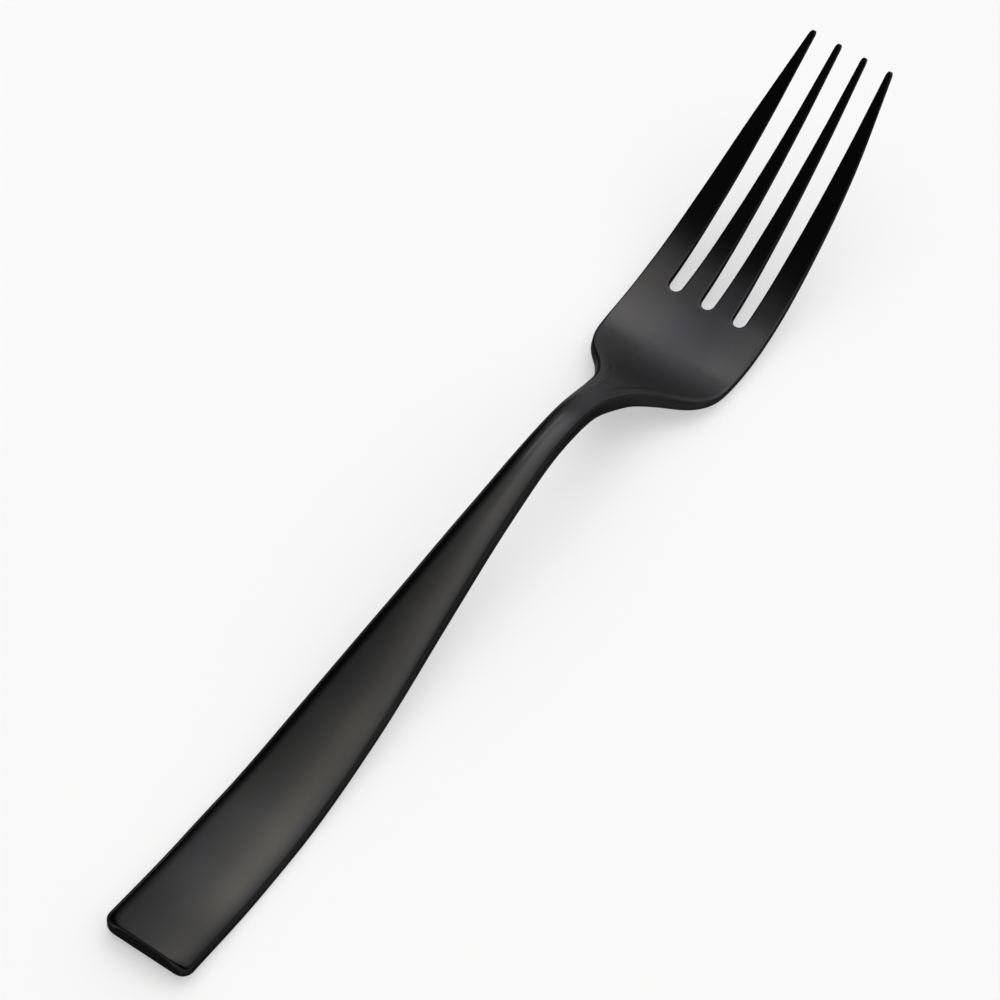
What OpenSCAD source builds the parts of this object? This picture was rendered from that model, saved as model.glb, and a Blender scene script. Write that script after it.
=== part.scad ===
// Dinner fork with four tines, pressed and forged from one piece of steel.
// The outline is laid out flat, as on the blank that a press cuts, and is then carried onto
// the arched side profile. Length runs along +Y from the butt to the tips, width along X,
// and height along Z from the table that the fork lies on.

/* [Overall] */
// Length along the table, from the butt to the middle of the tine tips
fork_length = 205.8; // [195:0.2:215]
// Height of the middle of the tine tips above the table
tip_height = 30.2; // [24:0.2:36]
// Height of the arch above the table, at the middle of the metal
arch_height = 17.2; // [13:0.2:21]

/* [Handle] */
// Width across the butt
butt_width = 17.8; // [14:0.2:21]
// Thickness of the handle along its middle
handle_thickness = 3.65; // [3:0.05:4.4]
// Height of the butt's underside above the table, to which the handle's end curls up
butt_lift = 1.55; // [0.6:0.05:2.4]
// Distance from the butt to where the handle lies flat on the table
rest_place = 20.2; // [14:0.2:26]
// Length along which it lies flat
rest_length = 10.2; // [6:0.2:16]
// Fall of the handle's top face from its middle to its sides, at the butt
handle_crown = 0.6; // [0.2:0.05:0.8]
// Width of the rounding along the handle's top edges
handle_edge_round = 2.6; // [1.6:0.1:3.2]
// Radius of the butt's corners, seen from above
corner_radius = 2.1; // [1:0.1:3.5]
// Width of the rounding along the butt's top and bottom edges
butt_edge_round = 0.3; // [0.2:0.05:0.8]

/* [Neck] */
// Distance from the butt to the top of the arch
arch_place = 112.8; // [106:0.2:117]
// Distance from the butt to the narrowest point of the neck
neck_place = 122.8; // [120:0.2:127]
// Width of the neck at its narrowest
neck_width = 5.4; // [4.6:0.1:7]
// Thickness of the neck along its middle
neck_thickness = 4.05; // [3.4:0.05:4.8]
// Distance from the butt to where the rounding of the top edges starts to turn shallower
shallow_place = 88; // [70:1:100]
// Distance from the butt to where the rounding of the top edges starts to turn narrower
crisp_place = 134; // [128:0.5:142]

/* [Head] */
// Distance from the butt to the lowest point of the bowl
belly_place = 151.8; // [148:0.2:156]
// Distance from the butt to the widest point of the head
shoulder_place = 154; // [150:0.2:158]
// Width of the head at its widest
head_width = 27.2; // [25:0.2:30]
// Thickness of the metal at the bottom of the bowl
bowl_thickness = 2.25; // [1.8:0.05:2.8]
// Depth of the bowl's hollow, from the sides of the head to its middle
bowl_hollow = 0.6; // [0.2:0.05:1.4]

/* [Tines] */
// Length of the slots along the table
tine_length = 45.3; // [42:0.1:48]
// Width of each slot at its round end
slot_width = 2.7; // [2.2:0.1:3.2]
// Distance between neighbouring slots at their round ends
slot_pitch = 6.9; // [6.4:0.05:7.3]
// Distance between neighbouring tine tips
tip_pitch = 5.45; // [5:0.05:6]
// Width of each tine at its tip
tip_width = 1; // [0.8:0.05:1.4]
// Thickness of each tine at its tip
tip_thickness = 1.1; // [0.9:0.05:1.5]
// Hollow across the four tips, what is left there of the bowl's
tip_hollow = 0.15; // [0:0.05:0.6]
// Length of the rounding at the end of each tine
tip_round = 0.8; // [0.4:0.05:1.2]

/* [Hidden] */
satin_black = "#2b2b2d";

// The four tines lie between three slots
tine_count = 4;
slot_count = tine_count - 1;

// Steps of the mesh: across each edge rounding, across each quarter of the width, and
// along each zone of the length
round_steps = 3;
quarter_steps = 3;
corner_steps = 4;
butt_steps = 5;
rest_steps = 2;
handle_steps = 20;
neck_steps = 9;
flare_steps = 20;
bowl_steps = 5;
slot_end_steps = 6;
tine_steps = 21;
tip_steps = 3;

// Width and depth of the edge roundings, as shares of the thickness of the metal. The head
// is crisp on top and well rounded below; the handle's top width is a length of its own.
handle_under_width_share = 0.2;
head_top_width_share = 0.16;
head_under_width_share = 0.7;
handle_top_depth_share = 0.35;
handle_under_depth_share = 0.2;
head_top_depth_share = 0.14;
head_under_depth_share = 0.5;
butt_depth_share = 0.06;
// Most that a rounding takes of half the width where it runs
round_limit_share = 0.8;
// Length past the lowest point along which the bowl keeps its thickness
belly_length = 3;
// Last angle of the round tip before its small end face
tip_end_angle = 70;

// Side profile, as shares of the way between its named places and heights
rise_shares = [[0.27, 0.185], [0.55, 0.54], [0.79, 0.845]];
fall_shares = [[0.28, 0.111], [0.51, 0.46], [0.74, 0.862], [0.82, 0.95]];
climb_shares = [[0.22, 0.075], [0.48, 0.306], [0.74, 0.621]];
// Outline, as shares of the way between its named places and widths
taper_shares = [[0.25, 0.083], [0.45, 0.282], [0.65, 0.62], [0.82, 0.881], [0.93, 0.993]];
flare_shares = [[0.2, 0.067], [0.33, 0.172], [0.465, 0.43], [0.6, 0.8], [0.77, 0.977]];
side_shares = [[0.19, 0.052], [0.43, 0.208], [0.72, 0.506]];

// Where the slots' round ends begin and where their sides run straight
slot_root = fork_length - tine_length;
slot_centre = slot_root + slot_width / 2;
// Half the distance over the outer tines at their tips
tip_half_span = tip_pitch * (tine_count - 1) / 2 + tip_width / 2;

// Ways between two values
function between(a, b, share) = a + (b - a) * share;
function limited(share) = max(0, min(1, share));
function eased(share) = let (t = limited(share)) t * t * (3 - 2 * t);
function stretch(a, b, shares) =
    [for (p = shares) [between(a[0], b[0], p[0]), between(a[1], b[1], p[1])]];
function spread(a, b, steps) = [for (i = [1:steps]) between(a, b, i / steps)];

// Smooth curve through a row of knots, each [place, value]. It is level at every high
// point, low point and level stretch, so it never swings past a named value.
function chord(knots, i) =
    (knots[i + 1][1] - knots[i][1]) / (knots[i + 1][0] - knots[i][0]);
function inner_slope(knots, i) = let (
    before = chord(knots, i - 1),
    after = chord(knots, i),
    near = knots[i][0] - knots[i - 1][0],
    far = knots[i + 1][0] - knots[i][0],
    mean = (before * far + after * near) / (near + far),
    most = 3 * min(abs(before), abs(after))
) before * after <= 0 ? 0 : sign(mean) * min(abs(mean), most);
function knot_slope(knots, i) =
    i == 0 ? chord(knots, 0) :
    i == len(knots) - 1 ? chord(knots, i - 1) :
    inner_slope(knots, i);
function knot_before(knots, place, i = 0) =
    i >= len(knots) - 2 || place < knots[i + 1][0] ? i : knot_before(knots, place, i + 1);
// Value and slope of the curve at a place
function curve(knots, place) = let (
    i = knot_before(knots, place),
    gap = knots[i + 1][0] - knots[i][0],
    u = (place - knots[i][0]) / gap,
    a = knots[i][1],
    b = knots[i + 1][1],
    sa = knot_slope(knots, i) * gap,
    sb = knot_slope(knots, i + 1) * gap,
    value = a + u * (sa + u * (3 * (b - a) - 2 * sa - sb + u * (2 * (a - b) + sa + sb))),
    rate = sa + u * (2 * (3 * (b - a) - 2 * sa - sb) + 3 * u * (2 * (a - b) + sa + sb))
) [value, rate / gap];

// Height of the middle of the metal along the length
profile_butt = [0, handle_thickness / 2 + butt_lift];
profile_down = [rest_place, handle_thickness / 2];
profile_up = [rest_place + rest_length, handle_thickness / 2];
profile_arch = [arch_place, arch_height];
profile_belly = [belly_place, bowl_thickness / 2];
profile_tip = [fork_length, tip_height];
profile = concat(
    [profile_butt, profile_down, profile_up],
    stretch(profile_up, profile_arch, rise_shares),
    [profile_arch],
    stretch(profile_arch, profile_belly, fall_shares),
    [profile_belly],
    stretch(profile_belly, profile_tip, climb_shares),
    [profile_tip]
);

// Half of the width along the length
outline_butt = [0, butt_width / 2];
outline_neck = [neck_place, neck_width / 2];
outline_head = [shoulder_place, head_width / 2];
outline_tip = [fork_length, tip_half_span];
outline = concat(
    [outline_butt],
    stretch(outline_butt, outline_neck, taper_shares),
    [outline_neck],
    stretch(outline_neck, outline_head, flare_shares),
    [outline_head],
    stretch(outline_head, outline_tip, side_shares),
    [outline_tip]
);

// Thickness of the metal along the length
thickness = [
    [0, handle_thickness],
    [rest_place + rest_length, handle_thickness],
    [neck_place, neck_thickness],
    [belly_place, bowl_thickness],
    [belly_place + belly_length, bowl_thickness],
    [fork_length, tip_thickness]
];

// What the butt's round corners take from the half width
function corner_cut(place) =
    place < corner_radius ? corner_radius - sqrt(pow(corner_radius, 2) - pow(corner_radius - place, 2)) : 0;
// What the rounding of the butt's edges takes from the thickness, above and below
function butt_cut(place) = let (share = 1 - limited(place / butt_edge_round))
    butt_depth_share * handle_thickness * (1 - sqrt(1 - share * share));
// Crown of the handle, which narrows with it and fades out behind the neck, and hollow of
// the head
function crown_at(place) = handle_crown * sqrt(curve(outline, place)[0] / (butt_width / 2))
    * (1 - eased((place - neck_place) / (belly_place - neck_place)));
function hollow_at(place) = place < belly_place
    ? bowl_hollow * eased((place - neck_place) / (belly_place - neck_place))
    : between(bowl_hollow, tip_hollow, eased((place - belly_place) / (fork_length - belly_place)));
// Full width and depth of the roundings, which go over from the handle's to the head's
function head_way(place, start) = eased((place - start) / (belly_place - start));
function full_width(place, metal, side) = side > 0
    ? between(handle_edge_round, metal * head_top_width_share, head_way(place, crisp_place))
    : metal * between(handle_under_width_share, head_under_width_share, head_way(place, arch_place));
function full_depth(place, metal, side) = metal * (side > 0
    ? between(handle_top_depth_share, head_top_depth_share, head_way(place, shallow_place))
    : between(handle_under_depth_share, head_under_depth_share, head_way(place, arch_place)));
// What is left of a rounding, in width and in depth, where the metal is narrow
function round_scale(place, metal, side, half) =
    min(1, half * round_limit_share / full_width(place, metal, side));
function round_width(place, metal, side, half) =
    full_width(place, metal, side) * round_scale(place, metal, side, half);

// Everything that one place along the fork fixes for its whole width:
// place, height, rise and run of the slope, half width, thickness, crown, hollow, butt cut
function section(place) = let (
    height = curve(profile, place),
    long = sqrt(1 + pow(height[1], 2))
) [
    place, height[0], height[1] / long, 1 / long,
    curve(outline, place)[0] - corner_cut(place), curve(thickness, place)[0],
    crown_at(place), hollow_at(place), butt_cut(place)
];
// Point of the top face (side 1) or the underside (side -1) at x, where a rounding has
// taken its share of the rounding's full depth
function face_point(cut, x, side, taken) = let (
    metal = cut[5],
    q = pow(x / cut[4], 2),
    drop = full_depth(cut[0], metal, side) * taken + cut[8],
    n = side * (metal / 2 - drop) - (side > 0 ? cut[6] * q : 0) + cut[7] * q
) [x, cut[0] - cut[2] * n, cut[1] + cut[3] * n];

// Steps of a rounding from the edge inwards: how far in, and how much of its depth is taken
function inset(i) = 1 - cos(90 * i / round_steps);
function taken(i) = 1 - sin(90 * i / round_steps);

// Slots: centre line and half width at a place
function slot_line(slot, place) = (slot - (slot_count - 1) / 2) *
    between(slot_pitch, tip_pitch, limited((place - slot_centre) / (fork_length - slot_centre)));
function slot_half(place) = between(slot_width / 2, (tip_pitch - tip_width) / 2,
    limited((place - slot_centre) / (fork_length - slot_centre)));

// Rows of the handle, neck and bowl, which reach across the whole fork
body_places = concat(
    [for (i = [0:corner_steps]) corner_radius * (1 - cos(90 * i / corner_steps))],
    spread(corner_radius, rest_place, butt_steps),
    spread(rest_place, rest_place + rest_length, rest_steps),
    spread(rest_place + rest_length, arch_place, handle_steps),
    spread(arch_place, neck_place, neck_steps),
    spread(neck_place, shoulder_place, flare_steps)
);
slot_metal = curve(thickness, slot_root)[0];
function slot_round(side) = round_width(slot_root, slot_metal, side, (slot_pitch - slot_width) / 2);
// The last rows stop short of the slots by the width of their rounding
function body_rows(side) =
    concat(body_places, spread(shoulder_place, slot_root - slot_round(side), bowl_steps));
body_count = len(body_rows(1));

quarters = tine_count;
body_columns = 2 * round_steps + quarters * quarter_steps + 1;
function body_row(place, side) = let (
    cut = section(place),
    round = round_width(place, cut[5], side, cut[4]),
    deep = round_scale(place, cut[5], side, cut[4]),
    inner = cut[4] - round,
    slots_share = eased((place - neck_place) / (belly_place - neck_place)),
    line = between(inner / 2, slot_pitch, slots_share),
    marks = [-inner, -line, 0, line, inner]
) concat(
    [for (i = [0:round_steps - 1])
        face_point(cut, -cut[4] + round * inset(i), side, deep * taken(i))],
    [for (j = [0:quarters * quarter_steps]) let (
        quarter = min(floor(j / quarter_steps), quarters - 1),
        share = j / quarter_steps - quarter
    ) face_point(cut, between(marks[quarter], marks[quarter + 1], share), side, 0)],
    [for (i = [round_steps - 1:-1:0])
        face_point(cut, cut[4] - round * inset(i), side, deep * taken(i))]
);

// Rounding at the deepest point of each slot, shared by the two tines beside it
function slot_apex(slot, side) = [for (i = [0:round_steps - 1]) let (
    cut = section(slot_root - slot_round(side) * inset(i))
) face_point(cut, slot_line(slot, slot_root), side, taken(i))];

// Rows of a tine: first round the slots' ends, then along the tine, then round its tip
tine_columns = 2 * round_steps + quarter_steps + 1;
tine_places = concat(
    spread(slot_centre, fork_length - tip_round, tine_steps),
    [for (i = [1:tip_steps])
        fork_length - tip_round + tip_round * sin(tip_end_angle * i / tip_steps)]
);
tine_rows = slot_end_steps + len(tine_places);
// Half of the width that the round tip leaves of a tine
function tip_left(place) = let (share = limited((place - fork_length + tip_round) / tip_round))
    sqrt(1 - share * share);
// One row round the slots' ends, at an angle from their deepest point
function slot_end_row(tine, angle, side) = let (
    round = slot_round(side),
    row = section(slot_centre - (slot_width / 2 + round) * cos(angle)),
    reach = (slot_width / 2 + round) * sin(angle),
    left_out = -row[4],
    right_out = row[4],
    left_in = tine == 0 ? left_out + round : slot_line(tine - 1, slot_root) + reach,
    right_in = tine == tine_count - 1 ? right_out - round : slot_line(tine, slot_root) - reach
) concat(
    [for (i = [0:round_steps - 1])
        tine == 0 ? face_point(row, left_out + round * inset(i), side, taken(i)) :
        slot_end_point(tine - 1, 1, angle, i, side)],
    [for (j = [0:quarter_steps])
        face_point(row, between(left_in, right_in, j / quarter_steps), side, 0)],
    [for (i = [round_steps - 1:-1:0])
        tine == tine_count - 1 ? face_point(row, right_out - round * inset(i), side, taken(i)) :
        slot_end_point(tine, -1, angle, i, side)]
);
function slot_end_point(slot, way, angle, i, side) = let (
    radius = slot_width / 2 + slot_round(side) * inset(i),
    cut = section(slot_centre - radius * cos(angle))
) face_point(cut, slot_line(slot, slot_root) + way * radius * sin(angle), side, taken(i));
// One row across a tine past the slots' ends
function tine_row(tine, place, side) = let (
    cut = section(place),
    left = tine == 0 ? -cut[4] : slot_line(tine - 1, place) + slot_half(place),
    right = tine == tine_count - 1 ? cut[4] : slot_line(tine, place) - slot_half(place),
    middle = (left + right) / 2,
    half = (right - left) / 2 * tip_left(place),
    round = round_width(place, cut[5], side, half),
    deep = round_scale(place, cut[5], side, half)
) concat(
    [for (i = [0:round_steps - 1])
        face_point(cut, middle - half + round * inset(i), side, deep * taken(i))],
    [for (j = [0:quarter_steps]) face_point(
        cut, between(middle - half + round, middle + half - round, j / quarter_steps), side, 0)],
    [for (i = [round_steps - 1:-1:0])
        face_point(cut, middle + half - round * inset(i), side, deep * taken(i))]
);
function tine_points(tine) = [
    for (angle = spread(0, 90, slot_end_steps)) for (side = [1, -1])
        each slot_end_row(tine, angle, side),
    for (place = tine_places) for (side = [1, -1])
        each tine_row(tine, place, side)
];

laid_points = concat(
    [for (r = [0:body_count - 1]) for (side = [1, -1]) each body_row(body_rows(side)[r], side)],
    [for (slot = [0:slot_count - 1]) for (side = [1, -1]) each slot_apex(slot, side)],
    [for (tine = [0:tine_count - 1]) each tine_points(tine)]
);

// Numbers of the points. Layer 0 is the top face and layer 1 the underside.
first_apex = 2 * body_count * body_columns;
first_tine = first_apex + 2 * slot_count * round_steps;
function body_at(row, layer, column) = (2 * row + layer) * body_columns + column;
function apex_at(slot, layer, i) = first_apex + (2 * slot + layer) * round_steps + i;
// Row 0 of a tine is the body's last row, with the apex of a slot on each inner side
function tine_at(tine, row, layer, column) = row > 0
    ? first_tine + (2 * (tine * tine_rows + row - 1) + layer) * tine_columns + column
    : joint_at(tine, layer, column);
function joint_at(tine, layer, column) = let (
    from_right = tine_columns - 1 - column,
    last = body_count - 1
)
    column < round_steps && tine > 0 ? apex_at(tine - 1, layer, column) :
    from_right < round_steps && tine < tine_count - 1 ? apex_at(tine, layer, from_right) :
    body_at(last, layer, column + tine * quarter_steps);

// Two triangles over four corners, given clockwise as seen from outside
function patch(a, b, c, d) = [[a, b, c], [a, c, d]];
// Skin between two rows of numbers, from the first row's top and underside to the next's
function skin(top_a, under_a, top_b, under_b) = let (last = len(top_a) - 1) concat(
    [for (c = [0:last - 1]) each patch(top_a[c], top_b[c], top_b[c + 1], top_a[c + 1])],
    [for (c = [0:last - 1]) each patch(under_a[c], under_a[c + 1], under_b[c + 1], under_b[c])],
    patch(top_a[last], top_b[last], under_b[last], under_a[last]),
    patch(top_a[0], under_a[0], under_b[0], top_b[0])
);
function end_face(top, under) =
    [for (c = [0:len(top) - 2]) each patch(top[c], top[c + 1], under[c + 1], under[c])];
function turned(list) = [for (face = list) [face[0], face[2], face[1]]];
function body_numbers(row, layer) = [for (c = [0:body_columns - 1]) body_at(row, layer, c)];
function tine_numbers(tine, row, layer) =
    [for (c = [0:tine_columns - 1]) tine_at(tine, row, layer, c)];

fork_faces = concat(
    end_face(body_numbers(0, 0), body_numbers(0, 1)),
    [for (r = [0:body_count - 2]) each skin(
        body_numbers(r, 0), body_numbers(r, 1), body_numbers(r + 1, 0), body_numbers(r + 1, 1))],
    [for (tine = [0:tine_count - 1]) for (r = [0:tine_rows - 1]) each skin(
        tine_numbers(tine, r, 0), tine_numbers(tine, r, 1),
        tine_numbers(tine, r + 1, 0), tine_numbers(tine, r + 1, 1))],
    [for (tine = [0:tine_count - 1]) each turned(
        end_face(tine_numbers(tine, tine_rows, 0), tine_numbers(tine, tine_rows, 1)))]
);

// The middle of the whole length comes to the origin
length_places = [for (p = laid_points) p[1]];
length_middle = (min(length_places) + max(length_places)) / 2;

// The whole fork: handle, neck, bowl and tines in one solid
module fork() {
    color(satin_black)
        translate([0, -length_middle, 0])
            polyhedron(points = laid_points, faces = fork_faces);
}

fork();
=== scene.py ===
"""Dinner fork: the visual model in satin black steel, on a plain pale floor."""

import math

import bpy
import numpy as np
from mathutils import Matrix, Vector


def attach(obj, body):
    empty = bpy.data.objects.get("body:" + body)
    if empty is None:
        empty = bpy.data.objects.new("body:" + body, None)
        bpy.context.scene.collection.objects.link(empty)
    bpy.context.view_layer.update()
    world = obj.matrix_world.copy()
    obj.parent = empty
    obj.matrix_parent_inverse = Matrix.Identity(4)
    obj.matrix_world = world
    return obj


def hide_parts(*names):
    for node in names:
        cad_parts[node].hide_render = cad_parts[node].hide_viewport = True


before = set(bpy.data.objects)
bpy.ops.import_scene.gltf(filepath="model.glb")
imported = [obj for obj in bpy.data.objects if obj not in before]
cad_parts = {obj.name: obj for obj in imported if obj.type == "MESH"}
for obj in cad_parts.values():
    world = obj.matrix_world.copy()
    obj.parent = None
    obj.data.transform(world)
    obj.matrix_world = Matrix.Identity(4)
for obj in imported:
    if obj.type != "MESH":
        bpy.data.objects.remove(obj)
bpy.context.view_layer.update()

MM = 0.001

# Sizes of the fork in millimetres, the same as those of the CAD model. Places are counted along
# the fork from the butt: the handle lies flat at the rest, rises to the arch, is narrowest at the
# neck and falls to the belly of the bowl, which is widest at the shoulder
FORK_LENGTH = 205.8
TIP_HEIGHT = 30.2
ARCH_HEIGHT = 17.2
BUTT_WIDTH = 17.8
HANDLE_THICKNESS = 3.65
BUTT_LIFT = 1.55
REST_PLACE = 20.2
REST_LENGTH = 10.2
HANDLE_CROWN = 0.6
HANDLE_EDGE_ROUND = 2.6
CORNER_RADIUS = 2.1
BUTT_EDGE_ROUND = 0.3
ARCH_PLACE = 112.8
NECK_PLACE = 122.8
NECK_WIDTH = 5.4
NECK_THICKNESS = 4.05
BELLY_PLACE = 151.8
BELLY_LENGTH = 3.0
SHOULDER_PLACE = 154.0
HEAD_WIDTH = 27.2
BOWL_THICKNESS = 2.25
BOWL_HOLLOW = 0.6
# Where the roundings of the top edges begin to grow shallow, and to grow narrow
SHALLOW_PLACE = 88.0
CRISP_PLACE = 134.0
# The tines and the slots between them
TINE_LENGTH = 45.3
SLOT_WIDTH = 2.7
SLOT_PITCH = 6.9
TIP_PITCH = 5.45
TIP_WIDTH = 1.0
TIP_THICKNESS = 1.1
TIP_HOLLOW = 0.15
TIP_ROUND = 0.8
TINE_COUNT = 4
SLOT_COUNT = TINE_COUNT - 1

# Width and depth of the edge roundings, as shares of the thickness of the metal
HANDLE_UNDER_WIDTH_SHARE = 0.2
HEAD_TOP_WIDTH_SHARE = 0.16
HEAD_UNDER_WIDTH_SHARE = 0.7
HANDLE_TOP_DEPTH_SHARE = 0.35
HANDLE_UNDER_DEPTH_SHARE = 0.2
HEAD_TOP_DEPTH_SHARE = 0.14
HEAD_UNDER_DEPTH_SHARE = 0.5
BUTT_DEPTH_SHARE = 0.06
# The most that a rounding may take of the half width
ROUND_LIMIT_SHARE = 0.8
# How far round each tip goes, before a small flat closes it
TIP_END_ANGLE = math.radians(70)

# Side profile and outline, as shares of the way between their named places
RISE_SHARES = [(0.27, 0.185), (0.55, 0.54), (0.79, 0.845)]
FALL_SHARES = [(0.28, 0.111), (0.51, 0.46), (0.74, 0.862), (0.82, 0.95)]
CLIMB_SHARES = [(0.22, 0.075), (0.48, 0.306), (0.74, 0.621)]
TAPER_SHARES = [(0.25, 0.083), (0.45, 0.282), (0.65, 0.62), (0.82, 0.881), (0.93, 0.993)]
FLARE_SHARES = [(0.2, 0.067), (0.33, 0.172), (0.465, 0.43), (0.6, 0.8), (0.77, 0.977)]
SIDE_SHARES = [(0.19, 0.052), (0.43, 0.208), (0.72, 0.506)]

# Steps of the mesh, finer than the CAD solid's so that reflections run smoothly
ROUND_STEPS = 12
QUARTER_STEPS = 8
CORNER_STEPS = 10
BUTT_STEPS = 30
REST_STEPS = 10
HANDLE_STEPS = 110
NECK_STEPS = 30
FLARE_STEPS = 80
BOWL_STEPS = 16
SLOT_END_STEPS = 18
TINE_STEPS = 90
TIP_STEPS = 8

SLOT_ROOT = FORK_LENGTH - TINE_LENGTH
SLOT_CENTRE = SLOT_ROOT + SLOT_WIDTH / 2
TIP_HALF_SPAN = TIP_PITCH * (TINE_COUNT - 1) / 2 + TIP_WIDTH / 2


def between(a, b, share):
    return a + (b - a) * share


def limited(share):
    return np.clip(share, 0.0, 1.0)


def eased(share):
    t = limited(share)
    return t * t * (3 - 2 * t)


def spread(a, b, steps):
    """Even steps from a to b, without a itself."""
    return [between(a, b, i / steps) for i in range(1, steps + 1)]


class Curve:
    """Smooth curve through knots (place, value), level at each high, low and level stretch."""

    def __init__(self, knots):
        self.x = np.array([k[0] for k in knots], float)
        self.y = np.array([k[1] for k in knots], float)
        gaps = np.diff(self.x)
        chords = np.diff(self.y) / gaps
        self.slopes = np.zeros(len(knots))
        self.slopes[0] = chords[0]
        self.slopes[-1] = chords[-1]
        for i in range(1, len(knots) - 1):
            before, after = chords[i - 1], chords[i]
            if before * after <= 0:
                continue
            mean = (before * gaps[i] + after * gaps[i - 1]) / (gaps[i - 1] + gaps[i])
            most = 3 * min(abs(before), abs(after))
            self.slopes[i] = math.copysign(min(abs(mean), most), mean)

    def __call__(self, place):
        place = np.asarray(place, float)
        i = np.clip(np.searchsorted(self.x, place, side="right") - 1, 0, len(self.x) - 2)
        gap = self.x[i + 1] - self.x[i]
        u = (place - self.x[i]) / gap
        a, b = self.y[i], self.y[i + 1]
        sa, sb = self.slopes[i] * gap, self.slopes[i + 1] * gap
        square = 3 * (b - a) - 2 * sa - sb
        cube = 2 * (a - b) + sa + sb
        value = a + u * (sa + u * (square + u * cube))
        rate = sa + u * (2 * square + 3 * u * cube)
        return value, rate / gap


def stretch(a, b, shares):
    """Knots between two named points, from shares of the way between them."""
    return [(between(a[0], b[0], p), between(a[1], b[1], q)) for p, q in shares]


def chain(*parts):
    """Knots from named points with share tables between them."""
    knots = [parts[0]]
    for shares, end in zip(parts[1::2], parts[2::2]):
        knots += stretch(knots[-1], end, shares) + [end]
    return Curve(knots)


REST_END = REST_PLACE + REST_LENGTH
PROFILE = chain(
    (0, HANDLE_THICKNESS / 2 + BUTT_LIFT), [], (REST_PLACE, HANDLE_THICKNESS / 2),
    [], (REST_END, HANDLE_THICKNESS / 2),
    RISE_SHARES, (ARCH_PLACE, ARCH_HEIGHT),
    FALL_SHARES, (BELLY_PLACE, BOWL_THICKNESS / 2),
    CLIMB_SHARES, (FORK_LENGTH, TIP_HEIGHT))
OUTLINE = chain(
    (0, BUTT_WIDTH / 2), TAPER_SHARES, (NECK_PLACE, NECK_WIDTH / 2),
    FLARE_SHARES, (SHOULDER_PLACE, HEAD_WIDTH / 2),
    SIDE_SHARES, (FORK_LENGTH, TIP_HALF_SPAN))
THICKNESS = chain(
    (0, HANDLE_THICKNESS), [], (REST_END, HANDLE_THICKNESS), [], (NECK_PLACE, NECK_THICKNESS),
    [], (BELLY_PLACE, BOWL_THICKNESS), [], (BELLY_PLACE + BELLY_LENGTH, BOWL_THICKNESS),
    [], (FORK_LENGTH, TIP_THICKNESS))


def head_share(place):
    """0 on the handle, 1 from the belly on."""
    return eased((place - NECK_PLACE) / (BELLY_PLACE - NECK_PLACE))


def half_width(place):
    """Half the width of the outline, with the round corners of the butt."""
    from_corner = np.clip(CORNER_RADIUS - place, 0, CORNER_RADIUS)
    corner_cut = CORNER_RADIUS - np.sqrt(CORNER_RADIUS ** 2 - from_corner ** 2)
    return OUTLINE(place)[0] - corner_cut


def butt_cut(place):
    """What the rounding of the butt's end takes off each face."""
    share = 1 - limited(place / BUTT_EDGE_ROUND)
    return BUTT_DEPTH_SHARE * HANDLE_THICKNESS * (1 - np.sqrt(1 - share ** 2))


def crown_at(place):
    """How far the top of the handle falls from its middle to its sides."""
    narrowing = np.sqrt(OUTLINE(place)[0] / (BUTT_WIDTH / 2))
    return HANDLE_CROWN * narrowing * (1 - head_share(place))


def hollow_at(place):
    """How far the sides of the head rise above its middle."""
    along_tines = eased((place - BELLY_PLACE) / (FORK_LENGTH - BELLY_PLACE))
    return np.where(place < BELLY_PLACE, BOWL_HOLLOW * head_share(place),
                    between(BOWL_HOLLOW, TIP_HOLLOW, along_tines))


def edge_share(place, start=ARCH_PLACE):
    """0 where the edges are the handle's, 1 where they are the head's."""
    return eased((place - start) / (BELLY_PLACE - start))


def full_width(place, metal, side):
    """Width of an edge's rounding, where it has room."""
    if side > 0:
        return between(HANDLE_EDGE_ROUND, HEAD_TOP_WIDTH_SHARE * metal, edge_share(place, CRISP_PLACE))
    return metal * between(HANDLE_UNDER_WIDTH_SHARE, HEAD_UNDER_WIDTH_SHARE, edge_share(place))


def full_depth(place, metal, side):
    """Depth of an edge's rounding, where it has room."""
    if side > 0:
        return metal * between(HANDLE_TOP_DEPTH_SHARE, HEAD_TOP_DEPTH_SHARE,
                               edge_share(place, SHALLOW_PLACE))
    return metal * between(HANDLE_UNDER_DEPTH_SHARE, HEAD_UNDER_DEPTH_SHARE, edge_share(place))


def round_scale(place, side, half):
    """What is left of a rounding, in width and depth, where the metal is narrow."""
    return min(1.0, half * ROUND_LIMIT_SHARE / float(full_width(place, THICKNESS(place)[0], side)))


def round_width(place, side, half):
    """Width of an edge's rounding on metal of this half width."""
    return float(full_width(place, THICKNESS(place)[0], side)) * round_scale(place, side, half)


def face_point(place, x, side, taken):
    """Point of the top (side 1) or underside (side -1); taken is a rounding's share of depth."""
    height, slope = PROFILE(place)
    run = 1 / math.sqrt(1 + slope ** 2)
    metal = THICKNESS(place)[0]
    q = (x / half_width(place)) ** 2
    depth = full_depth(place, metal, side)
    n = side * (metal / 2 - depth * taken - butt_cut(place)) + hollow_at(place) * q
    if side > 0:
        n -= crown_at(place) * q
    return (float(x), float(place - slope * run * n), float(height + run * n))


def inset(i):
    """How far in from the wall a step of a rounding lies, as a share of its width."""
    return 1 - math.cos(math.pi / 2 * i / ROUND_STEPS)


def taken_at(i):
    """How far below the face a step of a rounding lies, as a share of its depth."""
    return 1 - math.sin(math.pi / 2 * i / ROUND_STEPS)


def slot_share(place):
    """Share of the way from the slots' round ends to the tips."""
    return limited((place - SLOT_CENTRE) / (FORK_LENGTH - SLOT_CENTRE))


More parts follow.
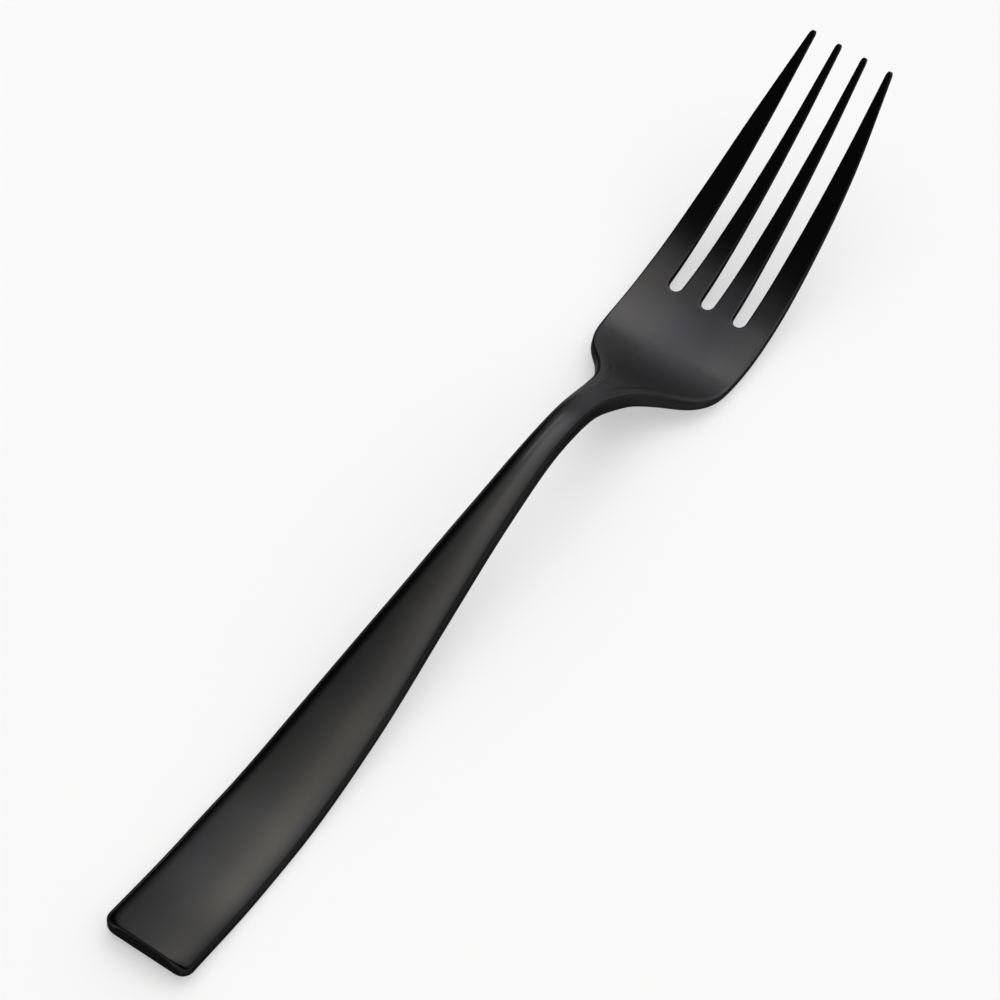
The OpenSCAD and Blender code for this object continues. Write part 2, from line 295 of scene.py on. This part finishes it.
def slot_line(slot, place):
    """Middle of a slot across the fork; the slots draw together toward the tips."""
    return (slot - (SLOT_COUNT - 1) / 2) * between(SLOT_PITCH, TIP_PITCH, slot_share(place))


def slot_half(place):
    """Half the width of a slot, which opens as the tines taper."""
    return between(SLOT_WIDTH / 2, (TIP_PITCH - TIP_WIDTH) / 2, slot_share(place))


def slot_round(side):
    """Width of the rounding that runs round the slots' ends."""
    return round_width(SLOT_ROOT, side, (SLOT_PITCH - SLOT_WIDTH) / 2)


# Top and underside
SIDES = (1, -1)


def body_row(place, side):
    """Row across the handle or bowl, in as many quarters as there are tines to run on into."""
    w = half_width(place)
    soft = round_width(place, side, w)
    deep = round_scale(place, side, w)
    inner = w - soft
    line = between(inner / 2, SLOT_PITCH, head_share(place))
    marks = [-inner, -line, 0, line, inner]
    row = [face_point(place, -w + soft * inset(i), side, deep * taken_at(i))
           for i in range(ROUND_STEPS)]
    for j in range(TINE_COUNT * QUARTER_STEPS + 1):
        quarter = min(j // QUARTER_STEPS, TINE_COUNT - 1)
        x = between(marks[quarter], marks[quarter + 1], j / QUARTER_STEPS - quarter)
        row.append(face_point(place, x, side, 0))
    row += [face_point(place, w - soft * inset(i), side, deep * taken_at(i))
            for i in reversed(range(ROUND_STEPS))]
    return row


def slot_apex(slot, side):
    """The rounding at the deepest point of a slot, as a short row."""
    return [face_point(SLOT_ROOT - slot_round(side) * inset(i), slot_line(slot, SLOT_ROOT),
                       side, taken_at(i)) for i in range(ROUND_STEPS)]


def slot_end_point(slot, way, angle, i, side):
    """Point on the rounding round a slot's end, at an angle from its deepest point."""
    radius = SLOT_WIDTH / 2 + slot_round(side) * inset(i)
    x = slot_line(slot, SLOT_ROOT) + way * radius * math.sin(angle)
    return face_point(SLOT_CENTRE - radius * math.cos(angle), x, side, taken_at(i))


def slot_end_row(tine, angle, side):
    """Row across the foot of a tine, between the slots' round ends."""
    soft = slot_round(side)
    place = SLOT_CENTRE - (SLOT_WIDTH / 2 + soft) * math.cos(angle)
    reach = (SLOT_WIDTH / 2 + soft) * math.sin(angle)
    w = half_width(place)
    first, last = tine == 0, tine == TINE_COUNT - 1
    left_in = -w + soft if first else slot_line(tine - 1, SLOT_ROOT) + reach
    right_in = w - soft if last else slot_line(tine, SLOT_ROOT) - reach
    left = [face_point(place, -w + soft * inset(i), side, taken_at(i)) if first
            else slot_end_point(tine - 1, 1, angle, i, side) for i in range(ROUND_STEPS)]
    middle = [face_point(place, between(left_in, right_in, j / QUARTER_STEPS), side, 0)
              for j in range(QUARTER_STEPS + 1)]
    right = [face_point(place, w - soft * inset(i), side, taken_at(i)) if last
             else slot_end_point(tine, -1, angle, i, side) for i in reversed(range(ROUND_STEPS))]
    return left + middle + right


def tine_row(tine, place, side):
    """Row across a tine, from one wall to the other."""
    w = half_width(place)
    left = -w if tine == 0 else slot_line(tine - 1, place) + slot_half(place)
    right = w if tine == TINE_COUNT - 1 else slot_line(tine, place) - slot_half(place)
    middle = (left + right) / 2
    past = limited((place - FORK_LENGTH + TIP_ROUND) / TIP_ROUND)
    half = (right - left) / 2 * math.sqrt(1 - past ** 2)
    soft = round_width(place, side, half)
    deep = round_scale(place, side, half)
    row = [face_point(place, middle - half + soft * inset(i), side, deep * taken_at(i))
           for i in range(ROUND_STEPS)]
    row += [face_point(place, between(middle - half + soft, middle + half - soft,
                                      j / QUARTER_STEPS), side, 0)
            for j in range(QUARTER_STEPS + 1)]
    row += [face_point(place, middle + half - soft * inset(i), side, deep * taken_at(i))
            for i in reversed(range(ROUND_STEPS))]
    return row


def body_places(side):
    """Places of the rows from the butt to the slots, closest at the corners."""
    corner = [CORNER_RADIUS * (1 - math.cos(math.pi / 2 * i / CORNER_STEPS))
              for i in range(CORNER_STEPS + 1)]
    return (corner + spread(CORNER_RADIUS, REST_PLACE, BUTT_STEPS)
            + spread(REST_PLACE, REST_END, REST_STEPS)
            + spread(REST_END, ARCH_PLACE, HANDLE_STEPS)
            + spread(ARCH_PLACE, NECK_PLACE, NECK_STEPS)
            + spread(NECK_PLACE, SHOULDER_PLACE, FLARE_STEPS)
            + spread(SHOULDER_PLACE, SLOT_ROOT - slot_round(side), BOWL_STEPS))


def tine_places():
    """Places of the rows of a tine past the slots' ends."""
    tip_start = FORK_LENGTH - TIP_ROUND
    return (spread(SLOT_CENTRE, tip_start, TINE_STEPS)
            + [tip_start + TIP_ROUND * math.sin(TIP_END_ANGLE * i / TIP_STEPS)
               for i in range(1, TIP_STEPS + 1)])


# Finish of a face, as the number of its material; the edges' material is rougher and painted darker, a
# painted shade
BROAD, EDGE = 0, 1
# Steps of each rounding, counted from the wall, that have the finish of the edges, with its painted
# shade
EDGE_STEPS = 5


class Skin:
    """Points and faces of the closed surface, with each face's finish and whether it is flat."""

    def __init__(self):
        self.points = []
        self.faces = []
        self.finish = []
        self.flat = []

    def add(self, row):
        first = len(self.points)
        self.points += row
        return list(range(first, first + len(row)))

    def face(self, numbers, finish, flat=False):
        self.faces.append(numbers)
        self.finish.append(finish)
        self.flat.append(flat)

    def span(self, a, b):
        """Skin between two rows, each given as (top numbers, underside numbers)."""
        (top_a, under_a), (top_b, under_b) = a, b
        columns = len(top_a) - 1
        for c in range(columns):
            # faces next to the walls get the edge material, with its painted shade
            finish = EDGE if min(c, columns - 1 - c) < EDGE_STEPS else BROAD
            self.face((top_a[c], top_a[c + 1], top_b[c + 1], top_b[c]), finish)
            self.face((under_a[c], under_b[c], under_b[c + 1], under_a[c + 1]), finish)
        self.face((top_a[-1], under_a[-1], under_b[-1], top_b[-1]), EDGE)
        self.face((top_a[0], top_b[0], under_b[0], under_a[0]), EDGE)

    def close(self, row, turned, flat):
        """End wall across a row, turned round at the tips."""
        top, under = row
        for c in range(len(top) - 1):
            face = (top[c], under[c], under[c + 1], top[c + 1])
            self.face(face[::-1] if turned else face, EDGE, flat)


def joint_row(body_numbers, apexes, tine, k):
    """Where a tine meets the body: the body's last row, and the slots' deepest points."""
    start = ROUND_STEPS + tine * QUARTER_STEPS
    middle = body_numbers[start:start + QUARTER_STEPS + 1]
    left = body_numbers[:ROUND_STEPS] if tine == 0 else apexes[tine - 1][k]
    right = body_numbers[-ROUND_STEPS:] if tine == TINE_COUNT - 1 else apexes[tine][k][::-1]
    return left + middle + right


def fork_skin():
    """The whole surface: the rows of the body, then each tine from its foot to its tip."""
    skin = Skin()
    places = [body_places(side) for side in SIDES]
    rows = [tuple(skin.add(body_row(places[k][r], side)) for k, side in enumerate(SIDES))
            for r in range(len(places[0]))]
    skin.close(rows[0], turned=False, flat=True)
    for a, b in zip(rows, rows[1:]):
        skin.span(a, b)
    apexes = [tuple(skin.add(slot_apex(slot, side)) for side in SIDES)
              for slot in range(SLOT_COUNT)]
    for tine in range(TINE_COUNT):
        current = tuple(joint_row(rows[-1][k], apexes, tine, k) for k in range(len(SIDES)))
        for step in range(1, SLOT_END_STEPS + 1):
            angle = math.pi / 2 * step / SLOT_END_STEPS
            following = tuple(skin.add(slot_end_row(tine, angle, side)) for side in SIDES)
            skin.span(current, following)
            current = following
        for place in tine_places():
            following = tuple(skin.add(tine_row(tine, place, side)) for side in SIDES)
            skin.span(current, following)
            current = following
        skin.close(current, turned=True, flat=False)
    return skin


def build_fork(materials):
    skin = fork_skin()
    points = np.array(skin.points)
    points[:, 1] -= (points[:, 1].min() + points[:, 1].max()) / 2
    mesh = bpy.data.meshes.new("fork_body")
    mesh.from_pydata([tuple(p) for p in points * MM], [], skin.faces)
    mesh.polygons.foreach_set("use_smooth", [not flat for flat in skin.flat])
    mesh.polygons.foreach_set("material_index", skin.finish)
    for material in materials:
        mesh.materials.append(material)
    mesh.update()
    fork = bpy.data.objects.new("fork_body", mesh)
    bpy.context.scene.collection.objects.link(fork)
    return fork


class Graph:
    """Short ways to add and link nodes of one node tree."""

    def __init__(self, tree):
        self.nodes = tree.nodes
        self.links = tree.links

    def put(self, value, socket):
        if isinstance(value, (int, float)):
            socket.default_value = value
        else:
            self.links.new(value, socket)

    def math(self, operation, *values):
        node = self.nodes.new("ShaderNodeMath")
        node.operation = operation
        for value, socket in zip(values, node.inputs):
            self.put(value, socket)
        return node.outputs[0]

    def smooth(self, value, edge, low=0.0, high=1.0):
        """Rises smoothly from low to high while value goes from edge[0] to edge[1]."""
        node = self.nodes.new("ShaderNodeMapRange")
        node.interpolation_type = "SMOOTHSTEP"
        flip = edge[0] > edge[1]
        ends = (edge[1], edge[0], high, low) if flip else (edge[0], edge[1], low, high)
        self.put(value, node.inputs["Value"])
        for name, end in zip(("From Min", "From Max", "To Min", "To Max"), ends):
            node.inputs[name].default_value = end
        return node.outputs["Result"]


# Grain of the steel: size across and along the fork in millimetres, and levels of detail, of the
# fine brushing, of the cloudy marks of handling and polishing, and of the long low waves that
# rolling and polishing leave
BRUSH = (0.22, 14.0, 3)
CLOUD = (7.0, 16.0, 4)
WAVE = (9.0, 30.0, 1)
# Spans of cloud and brush over which the coat's two tones blend, and over which it looks worn
TONE_CLOUD = (0.35, 0.65)
WORN_CLOUD = (0.5, 0.66)
WORN_BRUSH = (0.42, 0.62)
# The slope behind the bowl, where the polishing wheel doesn't reach, as places along the fork: where
# the dull finish begins and is full, and where it is full and ends at the bowl's crease. The slope is
# rougher there, and in the broad material its coat is also painted lighter, a painted sheen.
DULL_SHEEN_START = (NECK_PLACE - 2, NECK_PLACE + 5)
DULL_SHEEN_END = (BELLY_PLACE - 3.2, BELLY_PLACE - 5.4)
# The coating's tone drifts from warmer on the handle to cooler in the bowl: the places where the
# drift begins and ends, and how far it shifts the clouds
DRIFT = (NECK_PLACE - 30, BELLY_PLACE)
DRIFT_WARM, DRIFT_COOL = 0.07, -0.12
# Painted shade: the coating is painted darkest at the end of the handle, standing in for the light
# that falls off there: the places where that begins and is full
END_PAINTED_SHADE = (19, 6)


def new_material(name):
    material = bpy.data.materials.new(name)
    material.use_nodes = True
    return material, Graph(material.node_tree), material.node_tree.nodes["Principled BSDF"]


def grain(g, across, along, detail):
    """Noise around 0.5 with features of the given size, drawn out along the fork."""
    place = g.nodes.new("ShaderNodeMapping")
    place.inputs["Scale"].default_value = (1 / (across * MM), 1 / (along * MM), 1 / (across * MM))
    g.links.new(g.nodes.new("ShaderNodeTexCoord").outputs["Object"], place.inputs["Vector"])
    noise = g.nodes.new("ShaderNodeTexNoise")
    noise.inputs["Scale"].default_value = 1.0
    noise.inputs["Detail"].default_value = detail
    g.links.new(place.outputs["Vector"], noise.inputs["Vector"])
    return noise.outputs["Fac"]


def place_along(g):
    """Place along the fork in millimetres, from the butt."""
    split = g.nodes.new("ShaderNodeSeparateXYZ")
    g.links.new(g.nodes.new("ShaderNodeTexCoord").outputs["Object"], split.inputs[0])
    return g.math("MULTIPLY_ADD", split.outputs["Y"], 1 / MM, FORK_LENGTH / 2)


def relief(g, height, depth, under=None):
    """Bump of the given depth in millimetres, over another bump's normal if there is one."""
    bump = g.nodes.new("ShaderNodeBump")
    bump.inputs["Distance"].default_value = depth * MM
    bump.inputs["Strength"].default_value = 1.0
    g.links.new(height, bump.inputs["Height"])
    if under is not None:
        g.links.new(under, bump.inputs["Normal"])
    return bump.outputs["Normal"]


def mixed(g, share, a, b):
    """Colour b over a, in the given share; a may be another mix."""
    node = g.nodes.new("ShaderNodeMix")
    node.data_type = "RGBA"
    if isinstance(a, tuple):
        node.inputs["A"].default_value = (*a, 1)
    else:
        g.links.new(a, node.inputs["A"])
    node.inputs["B"].default_value = (*b, 1)
    g.links.new(share, node.inputs["Factor"])
    return node.outputs["Result"]


def steel(name, tones, dull_and_sheen_tone, worn_tone, end_shade_tone, tint, roughness, dulled,
          spread_of_roughness, brush_depth, wave_depth):
    """Black coated steel. Its tone follows clouds, wear and the place along the fork, with painted
    shade toward the end of the handle and a painted sheen on the dull slope; its roughness the
    brushing, the clouds and the dull slope, and its relief the slow waves."""
    material, g, shader = new_material(name)
    brush = grain(g, *BRUSH)
    cloud = grain(g, *CLOUD)
    wave = grain(g, *WAVE)
    shader.inputs["Metallic"].default_value = 1.0
    shader.inputs["Specular Tint"].default_value = (tint, tint, tint, 1)
    place = place_along(g)
    dull = g.math("MULTIPLY", g.smooth(place, DULL_SHEEN_START), g.smooth(place, DULL_SHEEN_END))
    worn = g.math("MULTIPLY", g.smooth(cloud, WORN_CLOUD), g.smooth(brush, WORN_BRUSH))
    drifted = g.math("ADD", cloud, g.smooth(place, DRIFT, low=DRIFT_WARM, high=DRIFT_COOL))
    coat = mixed(g, g.smooth(drifted, TONE_CLOUD), *tones)
    # painted sheen: the dull slope's tone, lighter in the broad material, stands in for light the
    # slope reflects
    coat = mixed(g, dull, coat, dull_and_sheen_tone)
    coat = mixed(g, worn, coat, worn_tone)
    # painted shade: the coat darkens toward the end of the handle
    g.links.new(mixed(g, g.smooth(place, END_PAINTED_SHADE), coat, end_shade_tone), shader.inputs["Base Color"])
    duller = g.math("MULTIPLY_ADD", dull, dulled, roughness)
    uneven = g.math("MULTIPLY_ADD", g.math("SUBTRACT", cloud, 0.5), spread_of_roughness, duller)
    g.links.new(g.math("MULTIPLY_ADD", g.math("SUBTRACT", brush, 0.5), spread_of_roughness, uneven),
                shader.inputs["Roughness"])
    g.links.new(relief(g, brush, brush_depth, relief(g, wave, wave_depth)), shader.inputs["Normal"])
    return material


def satin_black():
    """Broad faces, polished before coating."""
    return steel("satin_black_steel", ((0.0288, 0.0282, 0.0302), (0.0302, 0.0297, 0.0288)),
                 dull_and_sheen_tone=(0.0352, 0.0344, 0.0368), worn_tone=(0.0325, 0.0318, 0.0312),
                 end_shade_tone=(0.0202, 0.0199, 0.0198), tint=0.75,
                 roughness=0.15, dulled=0.34, spread_of_roughness=0.08,
                 brush_depth=0.0008, wave_depth=0.03)


def matt_shaded_edges():
    """Edges, where the same coating lies over the duller blanked and rolled metal: rougher, and
    painted darker in base colour and edge tint, a painted shade on the walls and roundings.
    """
    return steel("satin_black_shaded_edges", ((0.0192, 0.0188, 0.0198), (0.0225, 0.022, 0.0216)),
                 dull_and_sheen_tone=(0.0215, 0.0209, 0.0219), worn_tone=(0.034, 0.0332, 0.0325),
                 end_shade_tone=(0.0175, 0.0171, 0.0174), tint=0.42,
                 roughness=0.32, dulled=0.04, spread_of_roughness=0.12,
                 brush_depth=0.002, wave_depth=0.03)


# Half of the floor's side in metres, its colour, and its roughness
FLOOR_HALF = 4.0
FLOOR_COLOUR = (0.93, 0.93, 0.93, 1)
FLOOR_ROUGHNESS = 0.9
# Radiance of the white that the floor has of its own, and its share in what is seen of the floor
FLOOR_WHITE = 0.945
FLOOR_OWN_SHARE = 0.5


def floor_material():
    """Pale floor, part of whose white is its own, so that the fork's shadow on it stays light."""
    material, g, shader = new_material("pale_floor")
    shader.inputs["Base Color"].default_value = FLOOR_COLOUR
    shader.inputs["Roughness"].default_value = FLOOR_ROUGHNESS
    shader.inputs["Specular IOR Level"].default_value = 0.0
    path = g.nodes.new("ShaderNodeLightPath").outputs
    seen = g.math("MAXIMUM", g.math("MAXIMUM", path["Is Camera Ray"], path["Is Glossy Ray"]),
                  path["Is Transmission Ray"])
    own = g.nodes.new("ShaderNodeEmission")
    own.inputs["Strength"].default_value = FLOOR_WHITE
    blend = g.nodes.new("ShaderNodeMixShader")
    g.links.new(g.math("MULTIPLY", seen, FLOOR_OWN_SHARE), blend.inputs[0])
    g.links.new(shader.outputs[0], blend.inputs[1])
    g.links.new(own.outputs[0], blend.inputs[2])
    g.links.new(blend.outputs[0], g.nodes["Material Output"].inputs["Surface"])
    return material


def build_floor():
    """A plain floor under the fork, far wider than the view."""
    mesh = bpy.data.meshes.new("floor")
    h = FLOOR_HALF
    mesh.from_pydata([(-h, -h, 0), (h, -h, 0), (h, h, 0), (-h, h, 0)], [], [(0, 1, 2, 3)])
    mesh.materials.append(floor_material())
    floor = bpy.data.objects.new("floor", mesh)
    bpy.context.scene.collection.objects.link(floor)


# The photograph's view: angles in degrees, distance in metres from the aimed point
VIEW_AZIMUTH = 38.08
VIEW_ELEVATION = 55.82
VIEW_ROLL = -2.09
VIEW_DISTANCE = 0.8839
AIM = Vector((0.0, 0.00032, 0.008))
# Pixels that a millimetre covers at the aimed point, and the pixel where that point lies
PIXELS_PER_MM = 5.795
AIM_PIXEL = (514.49, 509.29)
PICTURE_SIZE = 1000
SENSOR_WIDTH = 36.0
# Nearest and farthest distance that the camera sees, in metres
SIGHT = (0.01, 50)


def view_axes():
    """Right, up and back of the camera."""
    azimuth = math.radians(VIEW_AZIMUTH)
    elevation = math.radians(VIEW_ELEVATION)
    roll = math.radians(VIEW_ROLL)
    back = Vector((math.sin(azimuth) * math.cos(elevation),
                   -math.cos(azimuth) * math.cos(elevation), math.sin(elevation)))
    level = Vector((math.cos(azimuth), math.sin(azimuth), 0))
    raised = back.cross(level)
    right = math.cos(roll) * level + math.sin(roll) * raised
    up = math.cos(roll) * raised - math.sin(roll) * level
    return right, up, back


def build_camera():
    """The photograph's camera, shifted by moving it level with its picture."""
    right, up, back = view_axes()
    off_right = (AIM_PIXEL[0] - PICTURE_SIZE / 2) / PIXELS_PER_MM * MM
    off_up = (PICTURE_SIZE / 2 - AIM_PIXEL[1]) / PIXELS_PER_MM * MM
    place = AIM + back * VIEW_DISTANCE - right * off_right - up * off_up
    data = bpy.data.cameras.new("camera")
    data.sensor_width = SENSOR_WIDTH
    data.lens = PIXELS_PER_MM / MM * VIEW_DISTANCE / PICTURE_SIZE * SENSOR_WIDTH
    data.clip_start, data.clip_end = SIGHT
    camera = bpy.data.objects.new("camera", data)
    turn = Matrix((right, up, back)).transposed()
    camera.matrix_world = Matrix.Translation(place) @ turn.to_4x4()
    bpy.context.scene.collection.objects.link(camera)
    bpy.context.scene.camera = camera


# Studio light, as a smooth dome. Places on it are on an equal-area map of the upper half: 0 is
# overhead, a radius of 1 is the horizon, x runs to the right and y to the back. A wide panel
# fades out over its edges, down to a low share of itself on the right and at the back, and it
# is brightest in a round key. Light outside the panel is dim
FRONT_EDGE = (-0.275, -0.1)
LEFT_EDGE = (-0.625, 0.075)
LEFT_SLANT = 0.45
RIGHT_EDGE = (0.95, 0.28)
RIGHT_LOW = 0.17
BACK_EDGE = (0.62, 0.42)
BACK_LOW = 0.62
PANEL_RADIANCE = 1.8
KEY_RADIANCE = 1.15
KEY_CENTRE = (-0.05, 0.34)
KEY_RADIUS = 0.48
DIM_RADIANCE = 0.07
# Low light in front, below all that the faces of the fork reflect toward the camera
FILL_EDGE = (-0.6, -0.78)
FILL_RADIANCE = 1.1
# Two long lamps within the panel: middle and half width on the map's x, the spans in y over
# which each comes up from its front end and falls to its back end, its radiance and the tint of
# the panel there
LAMPS = (((-0.155, 0.09), (-0.12, 0.05), (0.45, 0.32), 0.8, (1.03, 1.0, 0.92)),
         ((-0.335, 0.05), (0.2, 0.28), (0.42, 0.36), 0.3, (0.98, 0.97, 1.05)))
# Two narrow lamps near the fork, whose reflections are the pale patches on both sides of the
# bowl: middle, width, length and turn of each, its radiance and its colour
BOWL_LAMPS = (((-0.0695, 0.132, 0.207), 0.012, 0.106, 4, 0.65, (0.86, 0.93, 1.25)),
              ((-0.1, 0.1225, 0.207), 0.018, 0.13, 7, 1.75, (0.99, 0.98, 1.02)))


def build_light():
    """The dome, as the world's background."""
    world = bpy.data.worlds.new("studio")
    bpy.context.scene.world = world
    world.use_nodes = True
    g = Graph(world.node_tree)
    way = g.nodes.new("ShaderNodeTexCoord").outputs["Generated"]
    split = g.nodes.new("ShaderNodeSeparateXYZ")
    g.links.new(way, split.inputs[0])
    spread_out = g.math("INVERSE_SQRT", g.math("ADD", g.math("MAXIMUM", split.outputs["Z"], 0.0), 1.0))
    x = g.math("MULTIPLY", split.outputs["X"], spread_out)
    y = g.math("MULTIPLY", split.outputs["Y"], spread_out)
    front = g.smooth(y, FRONT_EDGE)
    left = g.smooth(g.math("MULTIPLY_ADD", y, LEFT_SLANT, x), LEFT_EDGE)
    right = g.smooth(x, RIGHT_EDGE, low=RIGHT_LOW)
    back = g.smooth(y, BACK_EDGE, low=BACK_LOW)
    off_x = g.math("POWER", g.math("ABSOLUTE", g.math("SUBTRACT", x, KEY_CENTRE[0])), 2.0)
    off_y = g.math("POWER", g.math("ABSOLUTE", g.math("SUBTRACT", y, KEY_CENTRE[1])), 2.0)
    away = g.math("SQRT", g.math("ADD", off_x, off_y))
    glow = g.smooth(away, (KEY_RADIUS, 0.0), low=PANEL_RADIANCE, high=PANEL_RADIANCE + KEY_RADIANCE)
    colour = (1.0, 1.0, 1.0)
    for (middle, half), rise, fall, strength, tint in LAMPS:
        off = g.math("ABSOLUTE", g.math("SUBTRACT", x, middle))
        length = g.math("MULTIPLY", g.smooth(y, rise), g.smooth(y, fall))
        lamp = g.math("MULTIPLY", g.smooth(off, (half, 0.0)), length)
        glow = g.math("MULTIPLY_ADD", lamp, strength, glow)
        colour = mixed(g, lamp, colour, tint)
    shape = g.math("MULTIPLY", g.math("MULTIPLY", front, left), g.math("MULTIPLY", right, back))
    background = g.nodes["Background"]
    g.links.new(colour, background.inputs["Color"])
    dim = g.smooth(y, FILL_EDGE, low=DIM_RADIANCE, high=FILL_RADIANCE)
    g.put(g.math("MULTIPLY_ADD", shape, glow, dim), background.inputs["Strength"])


def build_bowl_lamps():
    """The two narrow lamps, facing the bowl, long side along the fork."""
    bowl = Vector((0, (BELLY_PLACE + SLOT_ROOT - FORK_LENGTH) / 2 * MM, 0))
    for middle, width, length, turn, radiance, colour in BOWL_LAMPS:
        data = bpy.data.lights.new("bowl_lamp", "AREA")
        data.shape = "RECTANGLE"
        data.size, data.size_y = width, length
        data.energy = math.pi * width * length * radiance
        data.color = colour
        lamp = bpy.data.objects.new("bowl_lamp", data)
        away = (Vector(middle) - bowl).normalized()
        across = Vector((0, 1, 0)).cross(away).normalized()
        facing = Matrix((across, away.cross(across), away)).transposed()
        lamp.matrix_world = (Matrix.Translation(middle) @ facing.to_4x4()
                             @ Matrix.Rotation(math.radians(turn), 4, "Z"))
        lamp.visible_camera = False
        bpy.context.scene.collection.objects.link(lamp)


build_camera()
build_light()
build_bowl_lamps()
build_floor()
fork = build_fork((satin_black(), matt_shaded_edges()))
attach(fork, "root")
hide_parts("fork")
bpy.context.scene.view_settings.view_transform = "Standard"
